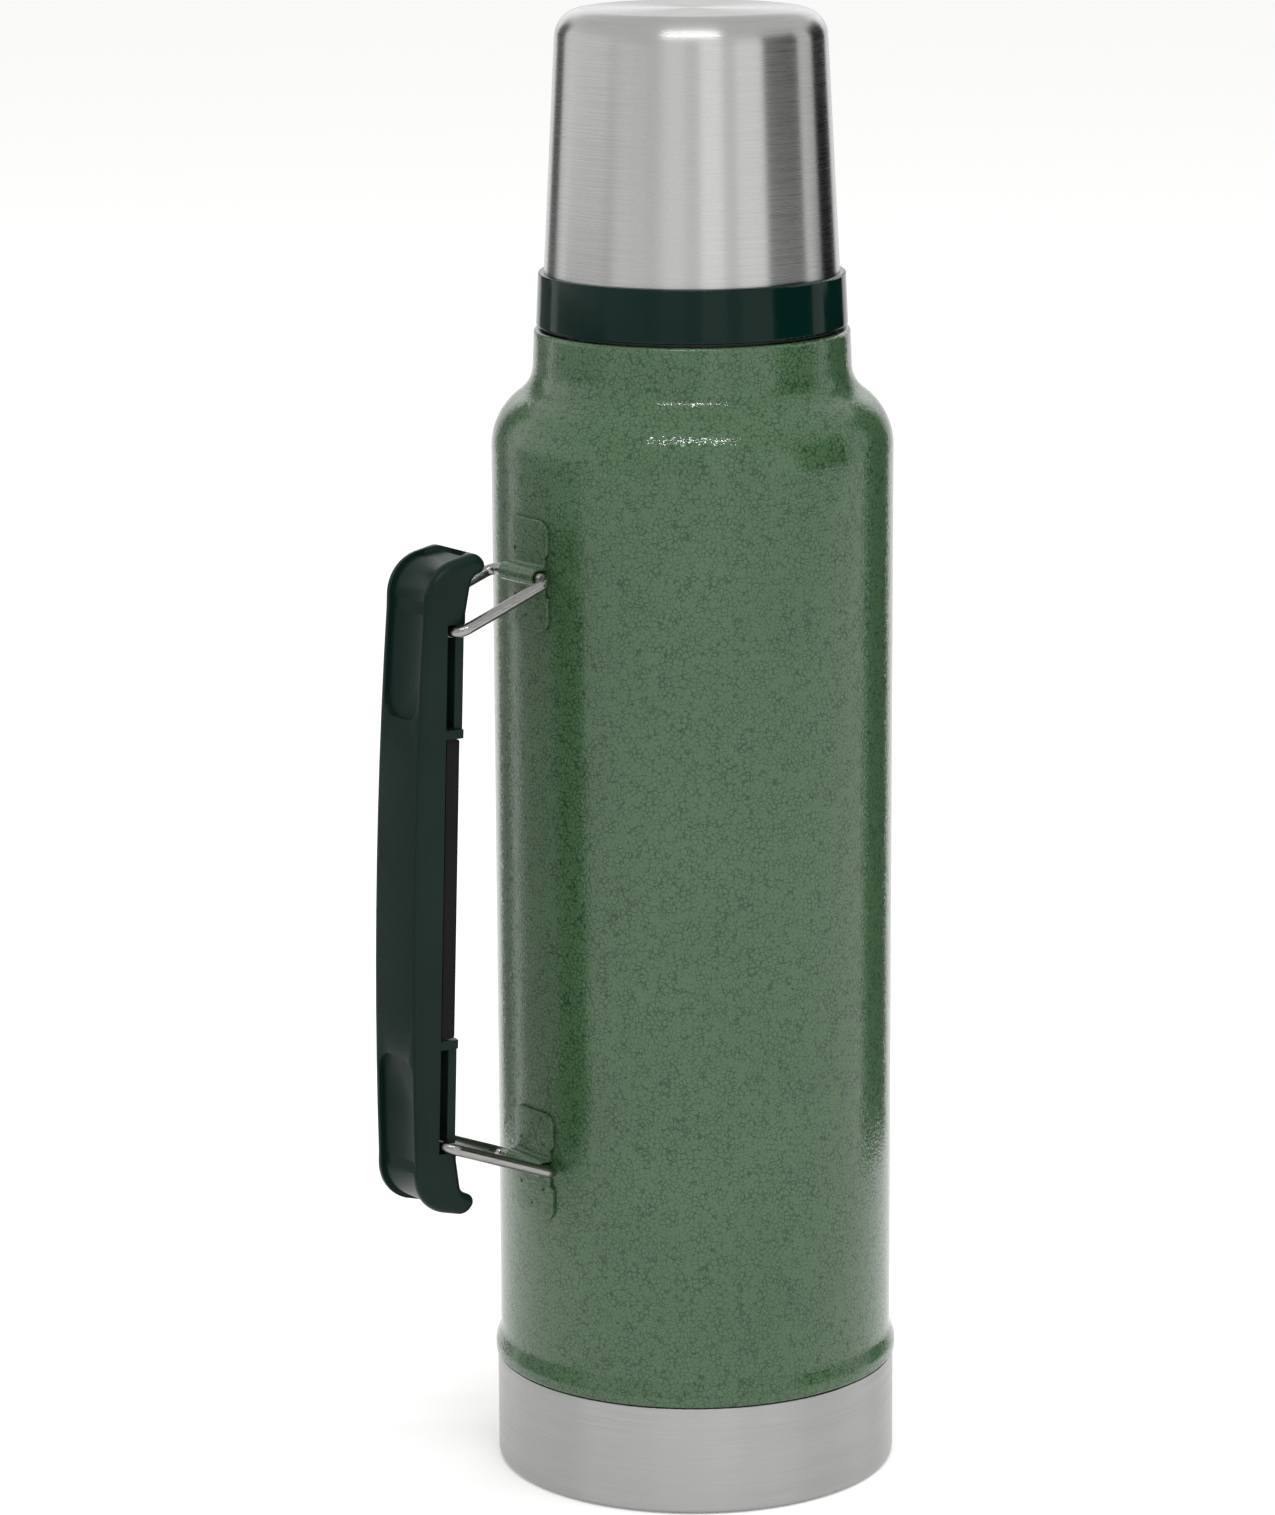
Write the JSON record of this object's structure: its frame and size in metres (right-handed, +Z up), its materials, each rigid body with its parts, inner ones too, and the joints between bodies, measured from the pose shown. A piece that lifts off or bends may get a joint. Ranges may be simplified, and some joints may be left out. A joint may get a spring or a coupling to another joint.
{
  "type": "vacuum flask",
  "caption": "Double-walled steel vacuum flask with a hammertone body, brushed base, screw-on cup, screw stopper and a handle on two hinged wire bails.",
  "frame": {"origin": "centre of the foot ring, on the surface that the flask stands on", "axes": "+Z up along the flask's axis, the handle towards -X"},
  "size_m": [0.1424, 0.1026, 0.37],
  "materials": {
    "hammertone_green": "textured gloss paint",
    "brushed_steel": "brushed around the axis",
    "plain_steel": "satin",
    "steel_wire": "drawn and polished",
    "foil": "bright",
    "getter_metal": "matt",
    "seal_metal": "matt",
    "green_plastic": "gloss",
    "handle_plastic": "satin",
    "soft_grip": "matt",
    "foam": "matt",
    "silicone": "satin"
  },
  "bodies": {
    "flask": {"outer_shell": "hammertone_green", "base_cap": "brushed_steel", "outer_base_plate": "plain_steel", "vacuum_seal_plug": "seal_metal", "inner_bottle": "plain_steel", "radiation_foil": "foil", "getter": "getter_metal", "mouth_ring": "plain_steel", "upper_bracket": "hammertone_green", "lower_bracket": "hammertone_green"},
    "cup_seal": {"cup_gasket": "silicone"},
    "cup": {"cup_shell": "brushed_steel", "cup_liner": "green_plastic"},
    "stopper_seal": {"stopper_gasket": "silicone"},
    "stopper": {"stopper_plug": "green_plastic", "stopper_knob": "green_plastic", "stopper_foam": "foam"},
    "upper_bail": {"upper_bail": "steel_wire"},
    "lower_bail": {"lower_bail": "steel_wire"},
    "handle": {"handle_shell": "handle_plastic", "handle_cover": "handle_plastic", "grip_pad": "soft_grip"}
  },
  "joints": [
    {"name": "cup_rise", "type": "slide", "parent": "flask", "child": "cup_seal", "axis": [0, 0, 1], "range_m": [0, 0.0401]},
    {"name": "cup_turn", "type": "hinge", "parent": "cup_seal", "child": "cup", "pos_m": [0, 0, 0.31], "axis": [0, 0, 1], "range_deg": [0, 1800]},
    {"name": "stopper_rise", "type": "slide", "parent": "flask", "child": "stopper_seal", "axis": [0, 0, 1], "range_m": [0, 0.0321]},
    {"name": "stopper_turn", "type": "hinge", "parent": "stopper_seal", "child": "stopper", "pos_m": [0, 0, 0.31], "axis": [0, 0, 1], "range_deg": [0, 1440]},
    {"name": "upper_bail_fold", "type": "hinge", "parent": "flask", "child": "upper_bail", "pos_m": [-0.052, 0, 0.2354], "axis": [0, -1, 0], "range_deg": [0, 25]},
    {"name": "handle_swing", "type": "hinge", "parent": "upper_bail", "child": "handle", "pos_m": [-0.07884, 0, 0.22552], "axis": [0, 1, 0], "range_deg": [0, 25.1]},
    {"name": "lower_bail_fold", "type": "hinge", "parent": "flask", "child": "lower_bail", "pos_m": [-0.052, 0, 0.0856], "axis": [0, 1, 0], "range_deg": [0, 23.5]}
  ],
  "couplings": [
    {"joint": "cup_rise", "follows": "cup_turn", "m_per_rad": 0.0012732},
    {"joint": "stopper_rise", "follows": "stopper_turn", "m_per_rad": 0.0012732},
    {"joint": "handle_swing", "follows": "upper_bail_fold", "ratio": 1},
    {"joint": "lower_bail_fold", "follows": "upper_bail_fold", "ratio": 0.935}
  ]
}
